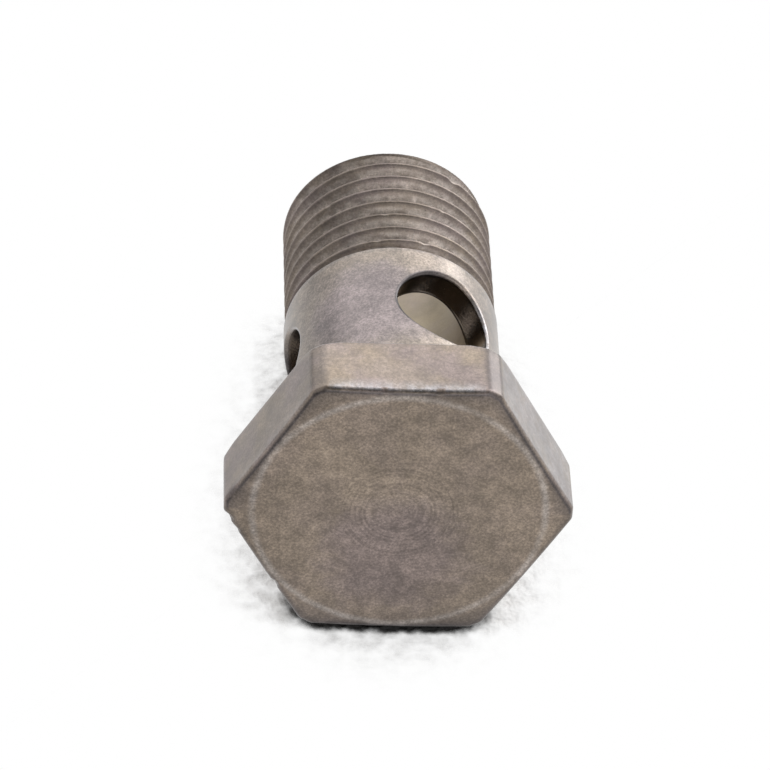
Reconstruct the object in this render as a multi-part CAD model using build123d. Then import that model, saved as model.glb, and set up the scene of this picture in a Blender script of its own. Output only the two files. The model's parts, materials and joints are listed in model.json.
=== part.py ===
"""Banjo bolt: a hollow hexagon-head bolt, M10 x 1, that feeds a ring fitting through three cross holes.

It is one turned piece. It is modelled on its own axis first, with the seat under the head at z = 0,
the thread towards +Z and the head towards -Z. It is then laid down as it comes to rest on a flat
surface: on the seat-side edge of one hexagon flat and on the end of the thread. The thread is a
plain cylinder over its crests.
"""

from build123d import *
from math import atan2, cos, degrees, hypot, radians, tan
import os

# ---------------------------------------------------------------- driving dimensions, mm and degrees
ACROSS_FLATS = 14.0
CORNER_TURNDOWN = 0.18  # turned off each corner of the hexagon, along its radius
HEAD_HEIGHT = 3.5
FACE_INSET = 0.35  # from a flat in to the edge of the face's level disc
FACE_CHAMFER_ANGLE = 6.0  # from the face, outside the disc
FACE_EDGE_RADIUS = 0.2  # rounding of the hexagon's outline round the face

SHANK_DIAMETER = 10.1
SHANK_LENGTH = 9.7  # from the seat to the thread relief
SHANK_EDGE_BREAK = 0.12
SEAT_ROOT_CHAMFER = 0.25  # where the shank meets the seat

THREAD_DIAMETER = 9.97  # over the crests: M10 at the middle of its tolerance
RELIEF_DIAMETER = 9.3
RELIEF_WIDTH = 0.25  # flat bottom of the relief between shank and thread
RELIEF_FLANK_ANGLE = 30.0  # of the relief's thread side, from the plane of the seat
LENGTH_UNDER_HEAD = 18.0
TIP_CHAMFER = 0.75

BORE_DIAMETER = 7.4
BORE_END = 3.0  # from the seat to the full diameter's end
BORE_MOUTH_CHAMFER = 0.2
DRILL_POINT_ANGLE = 118.0

PORT_COUNT = 3
PORT_DIAMETER = 4.8
PORT_HEIGHT = 5.9  # from the seat to the centre of the cross holes
PORT_CLOCK_ANGLE = 28.5  # first cross hole, clockwise seen from the head, from the upper flat
PORT_EDGE_BREAK = 0.12

# ---------------------------------------------------------------- worked out from them
FACE_RADIUS = ACROSS_FLATS / 2 - FACE_INSET
CORNER_RADIUS = ACROSS_FLATS / 2 / cos(radians(30)) - CORNER_TURNDOWN

# ---------------------------------------------------------------- working values
EMBED = 0.5  # how far a cutting solid reaches past the face that it opens
TINY = 1e-3


def turned_outline() -> Face:
    """Half section of the turned bar, without its hexagon and holes."""
    shank, relief, crest = SHANK_DIAMETER / 2, RELIEF_DIAMETER / 2, THREAD_DIAMETER / 2
    face_drop = (CORNER_RADIUS - FACE_RADIUS) * tan(radians(FACE_CHAMFER_ANGLE))
    relief_end = SHANK_LENGTH + RELIEF_WIDTH
    crest_start = relief_end + (crest - relief) * tan(radians(RELIEF_FLANK_ANGLE))
    outline = Polyline(
        (0, -HEAD_HEIGHT),
        (FACE_RADIUS, -HEAD_HEIGHT),
        (CORNER_RADIUS, -HEAD_HEIGHT + face_drop),
        (CORNER_RADIUS, 0),
        (shank + SEAT_ROOT_CHAMFER, 0),
        (shank, SEAT_ROOT_CHAMFER),
        (shank, SHANK_LENGTH - SHANK_EDGE_BREAK),
        (shank - SHANK_EDGE_BREAK, SHANK_LENGTH),
        (relief, SHANK_LENGTH),
        (relief, relief_end),
        (crest, crest_start),
        (crest, LENGTH_UNDER_HEAD - TIP_CHAMFER),
        (crest - TIP_CHAMFER, LENGTH_UNDER_HEAD),
        (0, LENGTH_UNDER_HEAD),
        close=True,
    )
    return make_face(outline)


def turned_bar() -> Part:
    """The turned bar as a solid of revolution about Z."""
    return revolve(Plane.XZ * turned_outline(), Axis.Z)


def hexagon_stock() -> Part:
    """Hexagon over the head, and round stock that keeps all of the stem."""
    flats = RegularPolygon(ACROSS_FLATS / 2, side_count=6, major_radius=False)
    head = extrude(flats, HEAD_HEIGHT, dir=(0, 0, -1))
    stem = extrude(Circle(ACROSS_FLATS / 2), LENGTH_UNDER_HEAD)
    return head + stem


def rounds_face(edge: Edge) -> bool:
    """True for the hexagon's edges and corner lands round the face of the head."""
    middle = edge @ 0.5
    beyond_face = hypot(middle.X, middle.Y) > FACE_RADIUS + TINY
    return beyond_face and edge.bounding_box().max.Z < -HEAD_HEIGHT / 2


def hexagon_bolt() -> Part:
    """The solid bolt before drilling, with the outline of its face rounded."""
    blank = turned_bar() & hexagon_stock()
    return fillet(blank.edges().filter_by(rounds_face), FACE_EDGE_RADIUS)


def axial_bore() -> Part:
    """Drilled blind bore with its point towards the head and a chamfered mouth."""
    radius = BORE_DIAMETER / 2
    point = radius / tan(radians(DRILL_POINT_ANGLE / 2))
    mouth = radius + BORE_MOUTH_CHAMFER
    outline = Polyline(
        (0, BORE_END - point),
        (radius, BORE_END),
        (radius, LENGTH_UNDER_HEAD - BORE_MOUTH_CHAMFER),
        (mouth, LENGTH_UNDER_HEAD),
        (mouth, LENGTH_UNDER_HEAD + EMBED),
        (0, LENGTH_UNDER_HEAD + EMBED),
        close=True,
    )
    return revolve(Plane.XZ * make_face(outline), Axis.Z)


def cross_holes() -> list[Part]:
    """Radial drills from the axis outwards, evenly spaced."""
    reach = SHANK_DIAMETER / 2 + EMBED
    drill = extrude(Plane.XZ * Circle(PORT_DIAMETER / 2), reach, dir=(0, 1, 0))
    placed = Pos(0, 0, PORT_HEIGHT) * drill
    step = 360 / PORT_COUNT
    return [Rot(0, 0, PORT_CLOCK_ANGLE + index * step) * placed for index in range(PORT_COUNT)]


def leaves_shank(edge: Edge) -> bool:
    """True for the edge where a cross hole breaks out of the shank."""
    middle = edge @ 0.5
    off_centre = abs(middle.Z - PORT_HEIGHT)
    off_shank = abs(hypot(middle.X, middle.Y) - SHANK_DIAMETER / 2)
    return off_centre <= PORT_DIAMETER / 2 + TINY and off_shank < TINY


def bolt_on_axis() -> Part:
    """The finished bolt on Z, seat at z = 0 and the upper hexagon flat towards +Y."""
    bolt = hexagon_bolt() - axial_bore()
    bolt -= cross_holes()
    return chamfer(bolt.edges().filter_by(leaves_shank), PORT_EDGE_BREAK)


def laid_down(bolt: Part) -> Part:
    """The bolt lying on a flat's seat-side edge and on the thread's end, centred over the origin."""
    end_of_crests = LENGTH_UNDER_HEAD - TIP_CHAMFER
    dip = degrees(atan2((ACROSS_FLATS - THREAD_DIAMETER) / 2, end_of_crests))
    lying = Rot(-90 - dip, 0, 0) * Rot(0, 0, 180) * bolt
    box = lying.bounding_box()
    return Pos(-box.center().X, -box.center().Y, -box.min.Z) * lying


os.makedirs("parts", exist_ok=True)
banjo_bolt = laid_down(bolt_on_axis())
banjo_bolt.label = "banjo_bolt"
export_step(banjo_bolt, "parts/banjo_bolt.step")
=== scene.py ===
"""Looks of a banjo bolt: one closed skin over the turned solid, its steel finishes, the light and the camera.

Lengths are millimetres in the bolt's own coordinates, with the centre of the seat under the head at zero.
Along runs from the head to the open end, a radius leaves the bolt's axis, and a clock angle turns
clockwise seen from the head, from the middle of the upper flat. Wear and shading is a number at each point
of the skin: 1 is rubbed bright, 0 is the plain finish and -1 is covered with grime. The same number carries
painted light and painted shade as well: painted light on the thread's roots, on the upper right flat and as
a highlight on the ports' lips, and painted shade on the edges, the corners, the lower face, round the ports
and just under the thread's crests.
"""

import json
import logging
import math
from dataclasses import dataclass
from enum import Enum
from functools import cached_property
from typing import ClassVar

import bmesh
import bpy
import numpy as np
from mathutils import Matrix, Vector


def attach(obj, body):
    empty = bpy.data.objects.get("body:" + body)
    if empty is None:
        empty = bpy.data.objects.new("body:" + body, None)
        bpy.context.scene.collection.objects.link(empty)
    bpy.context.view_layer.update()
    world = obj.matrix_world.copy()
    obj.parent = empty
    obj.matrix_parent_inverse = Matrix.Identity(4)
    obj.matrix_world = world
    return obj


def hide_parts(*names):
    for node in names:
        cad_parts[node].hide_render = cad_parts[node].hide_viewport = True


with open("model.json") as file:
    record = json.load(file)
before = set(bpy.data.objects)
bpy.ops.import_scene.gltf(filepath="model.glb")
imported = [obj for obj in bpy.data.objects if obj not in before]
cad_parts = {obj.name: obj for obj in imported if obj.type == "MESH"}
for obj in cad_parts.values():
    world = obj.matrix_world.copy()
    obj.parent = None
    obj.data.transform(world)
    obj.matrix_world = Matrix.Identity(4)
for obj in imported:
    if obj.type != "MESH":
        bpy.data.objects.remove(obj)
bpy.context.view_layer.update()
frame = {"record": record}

Array = np.ndarray
Values = float | np.ndarray  # one value for all points, or one for each
Pair = tuple[float, float]
Triple = tuple[float, float, float]
Socket = bpy.types.NodeSocket

LOG = logging.getLogger("banjo_bolt")
MM = 0.001
NODE = "banjo_bolt"
BODY = "root"

PORTS = 3
PORT_STEP = 360.0 / PORTS
FLATS = 6
COLUMNS = 288  # round the bolt: a whole number for each flat and for each port
STEP = 360.0 / COLUMNS
USUAL_NOISE = (0.3, 0.7)  # most of a noise's values lie between them
QUARTER = np.radians(np.linspace(0, 90, 5)[1:])  # rows of a small rounding, after its first


class Zone(Enum):
    """Stretch of the skin that has a finish of its own."""

    FACE = 0
    FLAT = 1
    SHANK = 2
    THREAD = 3
    PORT = 4
    BORE = 5


@dataclass(frozen=True)
class Place:
    """Where the bolt lies, read from the frame's mounts."""

    seat: Vector  # centre of the seat under the head, in metres
    axis: Vector  # direction from the head to the open end
    up: Vector  # outward normal of the upper flat

    @classmethod
    def of(cls, mounts: dict[str, dict]) -> "Place":
        """Reads the place from the seat, the shank and the upper flat.

        Args:
            mounts: The record's mounts by name.

        Returns:
            The bolt's place.
        """
        axis = Vector(mounts["seat"]["axis"]).normalized()
        up = Vector(mounts["wrench_flats"]["axis"]).normalized()
        shank = Vector(mounts["shank"]["pos_m"])
        on_seat = Vector(mounts["seat"]["pos_m"])
        return cls(shank - axis * (shank - on_seat).dot(axis), axis, up)

    @property
    def right(self) -> Vector:
        """Direction of clock angle 90."""
        return self.axis.cross(self.up)

    def world(self, points: Array) -> Array:
        """Turns bolt coordinates into the frame's metres.

        Args:
            points: Rows of right, up and along, in millimetres.

        Returns:
            Rows of x, y and z, in metres.
        """
        axes = np.array([self.right, self.up, self.axis])
        return np.array(self.seat) + points @ axes * MM

    def clock_of(self, direction: Vector) -> float:
        """Clock angle of a direction, in degrees."""
        return math.degrees(math.atan2(direction.dot(self.right), direction.dot(self.up)))


def circle(radius: Values, clocks: Array, along: Values) -> Array:
    """Points at a radius, clock angles and a distance along the bolt.

    Args:
        radius: One radius, or one for each point.
        clocks: Clock angles in degrees.
        along: One distance along the bolt, or one for each point.

    Returns:
        Rows of right, up and along.
    """
    turned = np.radians(clocks)
    flat = np.broadcast_to(along, turned.shape)
    return np.stack([radius * np.sin(turned), radius * np.cos(turned), flat], axis=1)


def polar(points: Array) -> tuple[Array, Array]:
    """Clock angle, in degrees, and radius of each point."""
    return np.degrees(np.arctan2(points[:, 0], points[:, 1])), np.hypot(points[:, 0], points[:, 1])


def wrapped(clocks: Values) -> Values:
    """Clock angles brought to between -180 and 180."""
    return (clocks + 180) % 360 - 180


def between(value: Values, low: float, high: float) -> Values:
    """How far a value has come from low to high, from 0 to 1."""
    return np.clip((value - low) / (high - low), 0, 1)


@dataclass(frozen=True)
class ByClock:
    """Value that changes with the clock angle."""

    bands: tuple[Triple, ...]  # middle, half width and value. The first that holds an angle gives its value
    rest: float  # value outside the bands

    def at(self, clocks: Array) -> Array:
        """The value at each clock angle."""
        held = [np.abs(clocks - middle) < half for middle, half, _ in self.bands]
        return np.select(held, [value for _, _, value in self.bands], self.rest)


class Skin:
    """One closed mesh, sewn from rows of points."""

    def __init__(self) -> None:
        """Starts with nothing."""
        self.points: list[Array] = []
        self.wear_and_shading: list[Array] = []
        self.faces: list[list[int]] = []
        self.zones: list[int] = []
        self.count = 0

    def row(self, points: Array, wear_and_shading: Values = 0.0) -> Array:
        """Adds a row of points.

        Args:
            points: Rows of right, up and along.
            wear_and_shading: Wear, painted light and painted shade at the points.

        Returns:
            The points' indices.
        """
        indices = np.arange(self.count, self.count + len(points))
        self.points.append(points)
        self.wear_and_shading.append(np.broadcast_to(wear_and_shading, len(points)).astype(float))
        self.count += len(points)
        return indices

    def face(self, corners: list[int], zone: Zone) -> None:
        """Adds a face.

        Args:
            corners: Indices of its corners, of which those that repeat are left out.
            zone: Its finish.
        """
        kept = [c for n, c in enumerate(corners) if c != corners[n - 1]]
        if len(set(kept)) >= 3:
            self.faces.append(kept)
            self.zones.append(zone.value)

    def sew(self, first: Array, second: Array, zone: Zone, closed: bool = True) -> None:
        """Joins two rows of equal length with four-sided faces.

        Args:
            first: Indices of one row.
            second: Indices of the other row.
            zone: Finish of the faces.
            closed: Whether the rows run all the way round.
        """
        for here in range(len(first) if closed else len(first) - 1):
            there = (here + 1) % len(first)
            self.face([int(i) for i in (first[here], first[there], second[there], second[here])], zone)

    def grow(self, ring: Array, points: Array, zone: Zone,
             wear_and_shading: Values = 0.0) -> Array:
        """Adds a closed row of points and sews it to a ring.

        Args:
            ring: Indices of the ring.
            points: Rows of right, up and along, as many as the ring has.
            zone: Finish of the faces between the two.
            wear_and_shading: Wear, painted light and painted shade at the new points.

        Returns:
            The new points' indices.
        """
        added = self.row(points, wear_and_shading)
        self.sew(ring, added, zone)
        return added

    def cap(self, ring: Array, centre: Array, zone: Zone) -> None:
        """Closes a ring with three-sided faces about one point."""
        for here, there in zip(ring, np.roll(ring, -1)):
            self.face([int(here), int(there), int(centre[0])], zone)

    def build(self, name: str, place: Place) -> bpy.types.Object:
        """Makes the mesh object, in the frame's metres.

        Args:
            name: Name of the object and its mesh.
            place: Where the bolt lies.

        Returns:
            The object, linked to the scene.
        """
        mesh = bpy.data.meshes.new(name)
        mesh.from_pydata(place.world(np.concatenate(self.points)).tolist(), [], self.faces)
        mesh.polygons.foreach_set("material_index", self.zones)
        mesh.polygons.foreach_set("use_smooth", [True] * len(self.faces))
        worn_and_lit = mesh.attributes.new("wear_and_shading", "FLOAT", "POINT")
        worn_and_lit.data.foreach_set("value", np.concatenate(self.wear_and_shading))
        self.turn_outwards(mesh)
        piece = bpy.data.objects.new(name, mesh)
        bpy.context.scene.collection.objects.link(piece)
        evened = piece.modifiers.new("even_normals", "WEIGHTED_NORMAL")
        evened.weight = 50
        return piece

    @staticmethod
    def turn_outwards(mesh: bpy.types.Mesh) -> None:
        """Turns every face of a closed mesh outwards.

        Args:
            mesh: The mesh.
        """
        work = bmesh.new()
        work.from_mesh(mesh)
        bmesh.ops.recalc_face_normals(work, faces=work.faces)
        if work.calc_volume(signed=True) < 0:
            bmesh.ops.reverse_faces(work, faces=work.faces)
        open_edges = sum(1 for edge in work.edges if not edge.is_manifold)
        triangles = sum(len(face.verts) - 2 for face in work.faces)
        volume = work.calc_volume() / MM**3
        LOG.info("skin: %d triangles, %d open edges, %.1f mm3", triangles, open_edges, volume)
        work.to_mesh(mesh)
        work.free()
        mesh.update()


@dataclass(frozen=True)
class Dent:
    """Knock in an edge."""

    clock: float  # where its middle is, as a clock angle
    width: float  # half of its length round the bolt
    depth: float  # how deep it is
    turn: int = 0  # on the thread, which crest it is on, counted from the shank

    def hollow(self, clocks: Array, radius: Values) -> Array:
        """How deep points lie in the dent, from 0 at its rim to 1 at its middle."""
        off = np.radians(wrapped(clocks - self.clock)) * radius / self.width
        return np.clip(1 - off**2, 0, 1) ** 2


@dataclass
class HexagonHead:
    """Hexagon with a turned face, from the middle of the face to the root of the shank."""

    root_clocks: Array  # clock angle of each column where the seat meets the shank
    root_radius: float  # where the seat ends
    across_flats: float = 14.0
    corner_turndown: float = 0.18  # turned off each corner
    height: float = 3.5
    face_inset: float = 0.35  # from a flat to the face's level disc
    face_angle: float = 6.0  # of the face outside that disc
    face_edge: float = 0.24  # rounding round the face
    corner_break: float = 0.05  # half width of the break between a flat and a corner
    seat_chamfer: float = 0.2  # at the corners, along the bolt
    seat_angle: float = 30.0
    seat_edge: float = 0.08  # rounding round the seat
    seat_inset: float = 0.03  # from that rounding to the seat's first row
    dents: tuple[Dent, ...] = (
        Dent(-95.0, 0.3, 0.12), Dent(-100.5, 0.16, 0.05), Dent(-130.0, 0.36, 0.1),
        Dent(-84.0, 0.5, 0.03), Dent(12.0, 0.22, 0.03), Dent(-8.0, 0.16, 0.025),
    )
    dent_turn: float = 0.8  # of the rounding, where a dent has its full depth, in radians
    dent_share: float = 0.05  # of a flat, where the dents end

    disc_rows: tuple[float, ...] = (0.3, 1.0, 2.0, 3.0, 4.0, 5.0, 5.8)  # radii
    land_rows: tuple[float, ...] = (0.3, 0.7)  # shares of the way from the disc to the rounding
    edge_rows: int = 13
    flat_rows: tuple[float, ...] = (0.015, 0.04, 0.1, 0.2, 0.35, 0.5, 0.65, 0.8, 0.92, 1.0)  # from the face
    seat_rows: int = 7
    face_turn: float = 0.6  # of the rounding, up to where it has the face's finish, in radians

    edge_turns: tuple[float, ...] = (0.0, 0.25, 0.45, 0.95)  # across the rounding from the face, in radians
    edge_shade_and_grime: tuple[float, ...] = (0.6, 1.0, 1.0, 0.0)  # darkening of the upper edges, at these turns: painted shade, partly grime
    edge_share: tuple[float, ...] = (0.0, 0.0, 0.0, 1.0)  # of the flats' wear and the corners' grime and painted shade, at these turns
    dent_grime: float = 0.6
    low_edge_shade: Triple = (0.4, 0.6, 0.2)  # painted shade of the lower edges, more at the lowest, more at the flats
    upper_half: float = 90.0  # clock angle that parts the upper edges from the lower ones
    lowest: Pair = (120.0, 160.0)  # clock angles where the lowest edge begins and counts in full
    low_face_shade: float = 0.35  # painted shade at the disc's rim, low on the face
    land_shade_and_grime: Pair = (0.6, 0.5)  # darkening gained outwards from the disc, high and low on the face: painted shade, with grime high on the face
    corner_blend: float = 0.12  # radius over which a corner's grime and painted shade fade into the flat
    handled: ByClock = ByClock(((0.0, 27.0, 0.65), (0.0, 90.0, 0.15)), 0.05)  # rubbing where the flats begin
    handled_share: float = 0.15  # of a flat, where that rubbing ends
    corner_grime_and_shade: ByClock = ByClock(((30.0, 15.0, 0.8), (0.0, 45.0, 0.45), (0.0, 90.0, 0.1)), 0.3)  # grime and painted shade of the corners, the most on the right upper corner, painted over a lamp's highlight
    painted_light: ByClock = ByClock(((60.0, 27.0, 0.35),), 0.0)  # painted light: the upper right flat is lighter

    @property
    def disc_radius(self) -> float:
        """Radius of the face's level disc."""
        return self.across_flats / 2 - self.face_inset

    @property
    def corner_radius(self) -> float:
        """Radius of the turned corners."""
        return self.across_flats / 2 / math.cos(math.radians(180 / FLATS)) - self.corner_turndown

    @property
    def seat_slope(self) -> float:
        """Rise of the corners' chamfer on the seat's side."""
        return math.tan(math.radians(self.seat_angle))

    @property
    def seat_radius(self) -> float:
        """Radius where that chamfer begins."""
        return self.corner_radius - self.seat_chamfer / self.seat_slope

    @property
    def clocks(self) -> Array:
        """Clock angle of each column on the flats."""
        return polar(self.outline(0.0))[0]

    @property
    def upper(self) -> Array:
        """Which columns are on the upper edges."""
        return np.abs(self.clocks) < self.upper_half

    @property
    def lowness(self) -> Array:
        """How near each column is to the lowest edge, from 0 to 1."""
        return between(np.abs(self.clocks), *self.lowest)

    @property
    def darkened_corners(self) -> Array:
        """Grime and painted shade of the corners.

        Returns:
            Grime and painted shade of each column.
        """
        clocks, radius = polar(self.outline(0.0))
        corner = between(radius, self.corner_radius - self.corner_blend, self.corner_radius)
        return corner * self.corner_grime_and_shade.at(clocks)

    def outline(self, inset: float) -> Array:
        """The hexagon's outline, moved inwards.

        Args:
            inset: Distance inwards.

        Returns:
            Right and up for each column, from the corner before the upper flat.
        """
        flat, corner = self.across_flats / 2 - inset, self.corner_radius - inset
        half = math.sqrt(corner**2 - flat**2)
        edge = math.atan2(half, flat)
        middle = math.radians(180 / FLATS)
        turned = [-middle, -(middle + edge) / 2, -edge - self.corner_break / corner]
        lands = [(corner * math.sin(t), corner * math.cos(t)) for t in turned]
        on_flat = COLUMNS // FLATS - 2 * len(lands) + 1
        across = np.linspace(-half + self.corner_break, half - self.corner_break, on_flat)
        side = np.array(lands + [(u, flat) for u in across] + [(-u, v) for u, v in lands[:0:-1]])
        clocks = np.radians(360.0 / FLATS * np.arange(FLATS))[:, None]
        right = side[:, 0] * np.cos(clocks) + side[:, 1] * np.sin(clocks)
        up = side[:, 1] * np.cos(clocks) - side[:, 0] * np.sin(clocks)
        return np.stack([right.ravel(), up.ravel()], axis=1)

    def face_along(self, radius: Array) -> Array:
        """Where the face lies along the bolt, at some radii."""
        beyond = np.maximum(radius - self.disc_radius, 0)
        return -self.height + beyond * math.tan(math.radians(self.face_angle))

    def seat_along(self, radius: Array) -> Array:
        """Where the seat's side lies along the bolt, at some radii."""
        return -np.maximum(radius - self.seat_radius, 0) * self.seat_slope

    def dented(self, at: Array, along: Array, share: float) -> tuple[Array, Array]:
        """Knocks the dents into a row of the edge round the face.

        Args:
            at: Right and up of each point.
            along: Place of each point along the bolt.
            share: How much of the dents reaches this row.

        Returns:
            The points, and how deep each one lies in a dent, from 0 to 1.
        """
        clocks, radius = polar(at)
        depth, mark = np.zeros(len(at)), np.zeros(len(at))
        for dent in self.dents:
            hollow = dent.hollow(clocks, radius)
            depth += dent.depth * hollow
            mark = np.maximum(mark, hollow)
        moved = at * (1 - depth * share / radius)[:, None]
        return np.column_stack([moved, along + depth * share]), mark

    def build(self, skin: Skin) -> Array:
        """Sews the head and returns the ring at the seat's inner edge."""
        return self._seat(skin, self._flats(skin, self._face_rounding(skin, self._face(skin))))

    def _face(self, skin: Skin) -> Array:
        """Sews the level disc and the land outside it.

        Args:
            skin: The bolt's skin.

        Returns:
            The last ring.
        """
        clocks, lowness = self.clocks, self.lowness
        centre = skin.row(np.array([[0.0, 0.0, -self.height]]))
        ring = skin.row(circle(self.disc_rows[0], clocks, -self.height))
        skin.cap(ring, centre, Zone.FACE)
        for radius in self.disc_rows[1:]:
            ring = skin.grow(ring, circle(radius, clocks, -self.height), Zone.FACE)
        rim = circle(self.disc_radius, clocks, -self.height)
        # painted shade low on the face, at the rim of the disc
        ring = skin.grow(ring, rim, Zone.FACE, -self.low_face_shade * lowness)
        turned, reach = polar(self.outline(self.face_edge))
        high, low = self.land_shade_and_grime
        for share in self.land_rows:
            radius = self.disc_radius * (1 - share) + reach * share
            points = circle(radius, turned, self.face_along(radius))
            # the land darkens outwards: painted shade, with grime on its upper part
            grime_and_shade = np.where(self.upper, high * share, (self.low_face_shade + low * share) * lowness)
            ring = skin.grow(ring, points, Zone.FACE, -grime_and_shade)
        return ring

    def _face_rounding(self, skin: Skin, ring: Array) -> Array:
        """Sews the rounding between the face and the flats.

        Args:
            skin: The bolt's skin.
            ring: The face's last ring.

        Returns:
            The last ring.
        """
        # rubbing, less the corners' grime and painted shade
        handled = self.handled.at(self.clocks) - self.darkened_corners
        shaded_and_grimy, lowest, outwards = self.low_edge_shade
        for turn in np.linspace(0, math.pi / 2, self.edge_rows):
            at = self.outline(self.face_edge * (1 - math.sin(turn)))
            along = self.face_along(polar(at)[1]) + self.face_edge * (1 - math.cos(turn))
            points, mark = self.dented(at, along, between(turn, 0, self.dent_turn))
            share = np.interp(turn, self.edge_turns, self.edge_share)
            # grime and painted shade across the rounding of the upper edges
            grime_and_shade = np.interp(turn, self.edge_turns, self.edge_shade_and_grime)
            high = (handled * share - grime_and_shade) * (1 - mark) - self.dent_grime * mark
            # painted shade on the lower edges
            low = -shaded_and_grimy - lowest * self.lowness - outwards * min(1.0, turn) * (1 - mark)
            zone = Zone.FACE if turn < self.face_turn else Zone.FLAT
            ring = skin.grow(ring, points, zone, np.where(self.upper, high, low))
        return ring

    def _flats(self, skin: Skin, ring: Array) -> Array:
        """Sews the flats and the corners.

        Args:
            skin: The bolt's skin.
            ring: The rounding's last ring.

        Returns:
            The last ring.
        """
        outer = self.outline(0.0)
        clocks, radius = polar(outer)
        top = self.face_along(radius) + self.face_edge
        end = self.seat_along(radius) - self.seat_edge
        # painted light on the upper right flat, less the corners' grime and painted shade
        handled, plain = self.handled.at(clocks), self.painted_light.at(clocks) - self.darkened_corners
        for share in self.flat_rows:
            points, _ = self.dented(outer, top + (end - top) * share, 1 - between(share, 0, self.dent_share))
            wear_and_shading = handled * (1 - between(share, 0, self.handled_share)) + plain
            ring = skin.grow(ring, points, Zone.FLAT, wear_and_shading)
        return ring

    def _seat(self, skin: Skin, ring: Array) -> Array:
        """Sews the seat and the rounding round it.

        Args:
            skin: The bolt's skin.
            ring: The flats' last ring.

        Returns:
            The last ring.
        """
        for turn in QUARTER:
            at = self.outline(self.seat_edge * (1 - math.cos(turn)))
            along = self.seat_along(polar(at)[1]) - self.seat_edge * (1 - math.sin(turn))
            ring = skin.grow(ring, np.column_stack([at, along]), Zone.FLAT, math.sin(2 * turn))
        leaving, reach = polar(self.outline(self.seat_edge))
        start = np.minimum(reach - self.seat_inset, self.seat_radius)
        arriving = leaving + wrapped(self.root_clocks - leaving)
        for share in np.linspace(0, 1, self.seat_rows):
            radius = start + (self.root_radius - start) * share
            turned = leaving + (arriving - leaving) * share
            ring = skin.grow(ring, circle(radius, turned, 0.0), Zone.FLAT)
        return ring


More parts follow.
